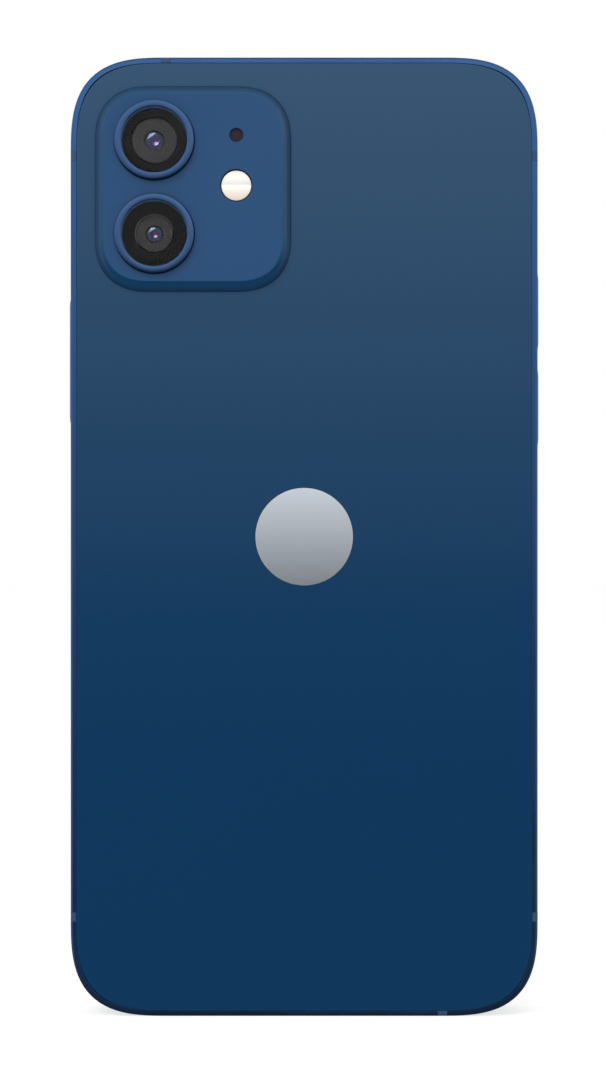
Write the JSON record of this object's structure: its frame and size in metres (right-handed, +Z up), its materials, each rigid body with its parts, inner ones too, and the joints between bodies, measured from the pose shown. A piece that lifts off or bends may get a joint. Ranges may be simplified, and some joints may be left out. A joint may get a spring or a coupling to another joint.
{
  "type": "smartphone",
  "caption": "Flat-sided smartphone with a glass back, a raised square camera plateau carrying two large lenses and a flash, metal rails with pressable buttons, and a SIM tray that slides out.",
  "frame": {"origin": "centre of the whole phone's box at its bottom edge, in the plane that it stands on", "axes": "+Z up along the phone's length, +X to the right as seen from the back, +Y out of the screen, so the back and its cameras face -Y"},
  "size_m": [0.0722, 0.0092, 0.1467],
  "materials": {
    "rail": "anodised blue aluminium, fine satin",
    "back_glass": "deep blue backed glass, polished, matte on the camera plateau",
    "cover_glass": "clear glass over a black display, polished",
    "lens_glass": "clear coated glass over black, polished",
    "flash_lens": "cream diffuser, glossy",
    "emblem": "polished silver disc",
    "band": "blue-grey moulded plastic, satin",
    "display": "black display laminate",
    "steel": "thin stamped steel",
    "steel_mesh": "black woven steel mesh",
    "plate": "machined aluminium, plain",
    "seal": "soft black seal",
    "black_plastic": "moulded black plastic",
    "board": "dark green circuit board",
    "contacts": "gold-plated copper",
    "card": "white plastic card",
    "battery": "black foil pouch",
    "coil": "enamelled copper winding",
    "magnet": "nickel-plated magnets",
    "haptic_mass": "sintered heavy alloy"
  },
  "bodies": {
    "frame": {"antenna_band_bottom": "band", "antenna_band_left_lower": "band", "antenna_band_left_upper": "band", "antenna_band_right_lower": "band", "antenna_band_right_upper": "band", "antenna_band_top": "band", "back_emblem": "emblem", "back_glass": "back_glass", "battery": "battery", "board_interposer": "contacts", "bottom_microphone_mesh": "steel_mesh", "bottom_screw_left": "rail", "bottom_screw_right": "rail", "charging_coil": "coil", "charging_port": "steel", "charging_port_contacts": "contacts", "cover_glass": "cover_glass", "display_panel": "display", "display_seal": "seal", "display_shield": "steel", "earpiece_mesh": "steel_mesh", "earpiece_speaker": "black_plastic", "flash_led": "contacts", "flash_lens": "flash_lens", "frame": "rail", "front_camera": "black_plastic", "haptic_housing": "steel", "infrared_camera": "black_plastic", "loudspeaker": "black_plastic", "loudspeaker_mesh": "steel_mesh", "lower_logic_board": "board", "magnet_ring": "magnet", "mid_plate": "plate", "processor": "black_plastic", "rear_microphone": "black_plastic", "ring_switch_base": "black_plastic", "side_switch": "steel", "sim_reader": "steel", "ultrawide_camera_housing": "steel", "ultrawide_camera_sensor": "board", "ultrawide_lens_barrel": "black_plastic", "ultrawide_lens_ring": "rail", "ultrawide_lens_window": "lens_glass", "upper_logic_board": "board", "volume_down_switch": "steel", "volume_up_switch": "steel", "wide_camera_housing": "steel", "wide_camera_sensor": "board", "wide_lens_ring": "rail", "wide_lens_window": "lens_glass"},
    "side_button": {"side_button": "rail"},
    "volume_up_button": {"volume_up_button": "rail"},
    "volume_down_button": {"volume_down_button": "rail"},
    "ring_switch_lever": {"ring_switch_lever": "rail"},
    "sim_tray": {"sim_tray": "rail", "sim_card": "card"},
    "wide_stabiliser_frame": {"wide_stabiliser_frame": "plate"},
    "wide_focus_frame": {"wide_focus_frame": "black_plastic"},
    "wide_lens_barrel": {"wide_lens_barrel": "black_plastic"},
    "haptic_mass": {"haptic_mass": "haptic_mass"}
  },
  "joints": [
    {"name": "side_button_press", "type": "slide", "parent": "frame", "child": "side_button", "axis": [1, 0, 0], "range_m": [0, 0.00025], "stiffness_N_per_m": 500, "springref_m": -0.0004},
    {"name": "volume_up_press", "type": "slide", "parent": "frame", "child": "volume_up_button", "axis": [-1, 0, 0], "range_m": [0, 0.00025], "stiffness_N_per_m": 500, "springref_m": -0.0004},
    {"name": "volume_down_press", "type": "slide", "parent": "frame", "child": "volume_down_button", "axis": [-1, 0, 0], "range_m": [0, 0.00025], "stiffness_N_per_m": 500, "springref_m": -0.0004},
    {"name": "ring_switch_slide", "type": "slide", "parent": "frame", "child": "ring_switch_lever", "axis": [0, -1, 0], "range_m": [0, 0.0008]},
    {"name": "sim_tray_slide", "type": "slide", "parent": "frame", "child": "sim_tray", "axis": [1, 0, 0], "range_m": [0, 0.0125]},
    {"name": "wide_stabiliser_shift_across", "type": "slide", "parent": "frame", "child": "wide_stabiliser_frame", "axis": [1, 0, 0], "range_m": [-0.00012, 0.00012], "stiffness_N_per_m": 500},
    {"name": "wide_stabiliser_shift_up", "type": "slide", "parent": "wide_stabiliser_frame", "child": "wide_focus_frame", "axis": [0, 0, 1], "range_m": [-0.00012, 0.00012], "stiffness_N_per_m": 500},
    {"name": "wide_lens_focus", "type": "slide", "parent": "wide_focus_frame", "child": "wide_lens_barrel", "axis": [0, -1, 0], "range_m": [0, 0.0003], "stiffness_N_per_m": 200, "springref_m": -0.0001},
    {"name": "haptic_mass_stroke", "type": "slide", "parent": "frame", "child": "haptic_mass", "axis": [1, 0, 0], "range_m": [-0.0008, 0.0008], "stiffness_N_per_m": 800}
  ]
}
